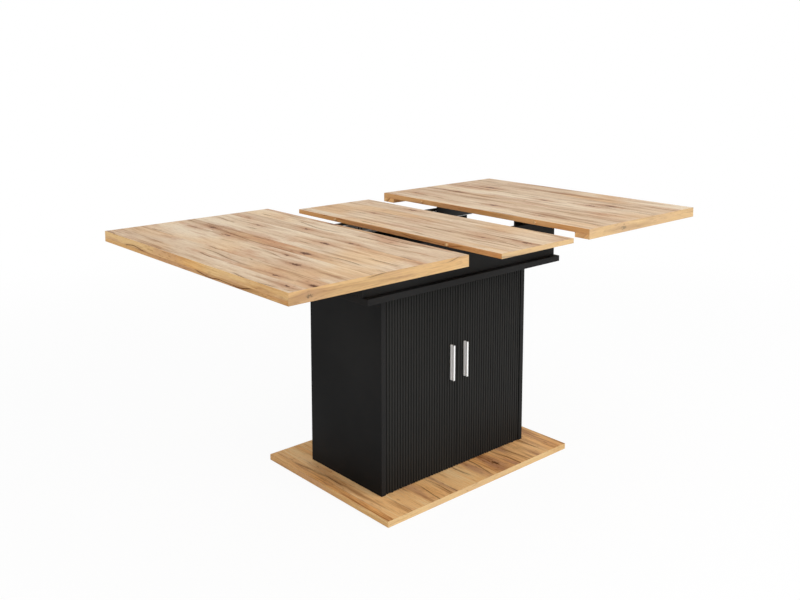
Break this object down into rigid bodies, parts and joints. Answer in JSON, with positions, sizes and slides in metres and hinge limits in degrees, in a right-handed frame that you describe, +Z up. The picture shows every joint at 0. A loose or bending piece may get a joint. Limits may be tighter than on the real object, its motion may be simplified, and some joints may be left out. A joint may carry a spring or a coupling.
{
  "type": "extending kitchen table with storage cupboard",
  "caption": "Extending kitchen table: sliding top halves and a loose leaf on a cupboard pedestal with ribbed doors.",
  "frame": {"origin": "middle of the pedestal, on the floor, at the underside of the middle glide", "axes": "+X along the extension, -Y out of the doors, +Z up"},
  "size_m": [1.5935, 0.9, 0.77],
  "materials": {
    "oak_laminate": "satin laminate with a rustic oak grain",
    "oak_edge_band": "satin edge band with an oak grain",
    "black_board": "matt black melamine",
    "black_ribbed_front": "matt black foil over milled ribs",
    "chrome": "polished chrome",
    "zinc_steel": "zinc-plated",
    "screw_steel": "zinc-plated",
    "black_plastic": "moulded",
    "black_steel": "black powder coat"
  },
  "bodies": {
    "root": {"base_plate": "oak_laminate", "base_edge_bands": "oak_edge_band", "floor_glides": "black_plastic", "base_screws": "screw_steel", "left_side_panel": "black_board", "right_side_panel": "black_board", "back_panel": "black_board", "shelf": "black_board", "shelf_pins": "screw_steel", "carrier_plate": "black_board", "carrier_screws": "screw_steel", "front_apron": "black_board", "rear_apron": "black_board", "apron_screws": "screw_steel", "pivot_bushes": "black_plastic", "catch_housings": "black_plastic", "catch_poles": "screw_steel", "left_front_slide_outer": "zinc_steel", "left_rear_slide_outer": "zinc_steel", "right_front_slide_outer": "zinc_steel", "right_rear_slide_outer": "zinc_steel", "slide_screws": "screw_steel"},
    "left_slide_middles": {"left_front_slide_middle": "zinc_steel", "left_rear_slide_middle": "zinc_steel"},
    "left_half": {"left_top_board": "oak_laminate", "left_edge_bands": "oak_edge_band", "left_end_batten": "oak_laminate", "left_front_batten": "oak_laminate", "left_rear_batten": "oak_laminate", "left_front_slide_inner": "zinc_steel", "left_rear_slide_inner": "zinc_steel", "left_front_slide_bracket": "black_steel", "left_rear_slide_bracket": "black_steel", "left_bracket_screws": "screw_steel"},
    "left_door": {"left_door_panel": "black_ribbed_front", "left_pivot_pins": "screw_steel", "left_door_handle": "chrome", "left_handle_screws": "screw_steel", "left_strike_plate": "screw_steel"},
    "right_slide_middles": {"right_front_slide_middle": "zinc_steel", "right_rear_slide_middle": "zinc_steel"},
    "right_half": {"right_top_board": "oak_laminate", "right_edge_bands": "oak_edge_band", "right_end_batten": "oak_laminate", "right_front_batten": "oak_laminate", "right_rear_batten": "oak_laminate", "right_front_slide_inner": "zinc_steel", "right_rear_slide_inner": "zinc_steel", "right_front_slide_bracket": "black_steel", "right_rear_slide_bracket": "black_steel", "right_bracket_screws": "screw_steel"},
    "right_door": {"right_door_panel": "black_ribbed_front", "right_pivot_pins": "screw_steel", "right_door_handle": "chrome", "right_handle_screws": "screw_steel", "right_strike_plate": "screw_steel"},
    "leaf": {"loose_leaf": "oak_laminate", "leaf_edge_bands": "oak_edge_band"}
  },
  "joints": [
    {"name": "left_half_slide", "type": "slide", "parent": "root", "child": "left_half", "axis": [-1, 0, 0], "range_m": [-0.1215, 0.028]},
    {"name": "right_half_slide", "type": "slide", "parent": "root", "child": "right_half", "axis": [1, 0, 0], "range_m": [-0.071, 0.0785]},
    {"name": "left_slide_extension", "type": "slide", "parent": "root", "child": "left_slide_middles", "axis": [-1, 0, 0], "range_m": [-0.06075, 0.014]},
    {"name": "right_slide_extension", "type": "slide", "parent": "root", "child": "right_slide_middles", "axis": [1, 0, 0], "range_m": [-0.0355, 0.03925]},
    {"name": "leaf_lift", "type": "slide", "parent": "root", "child": "leaf", "axis": [0, 0, 1], "range_m": [0, 0.12]},
    {"name": "left_door_swing", "type": "hinge", "parent": "root", "child": "left_door", "pos_m": [-0.258, -0.157, 0.314], "axis": [0, 0, -1], "range_deg": [0, 110]},
    {"name": "right_door_swing", "type": "hinge", "parent": "root", "child": "right_door", "pos_m": [0.258, -0.157, 0.314], "axis": [0, 0, 1], "range_deg": [0, 110]}
  ],
  "couplings": [
    {"joint": "left_slide_extension", "follows": "left_half_slide", "ratio": 0.5},
    {"joint": "right_slide_extension", "follows": "right_half_slide", "ratio": 0.5}
  ]
}
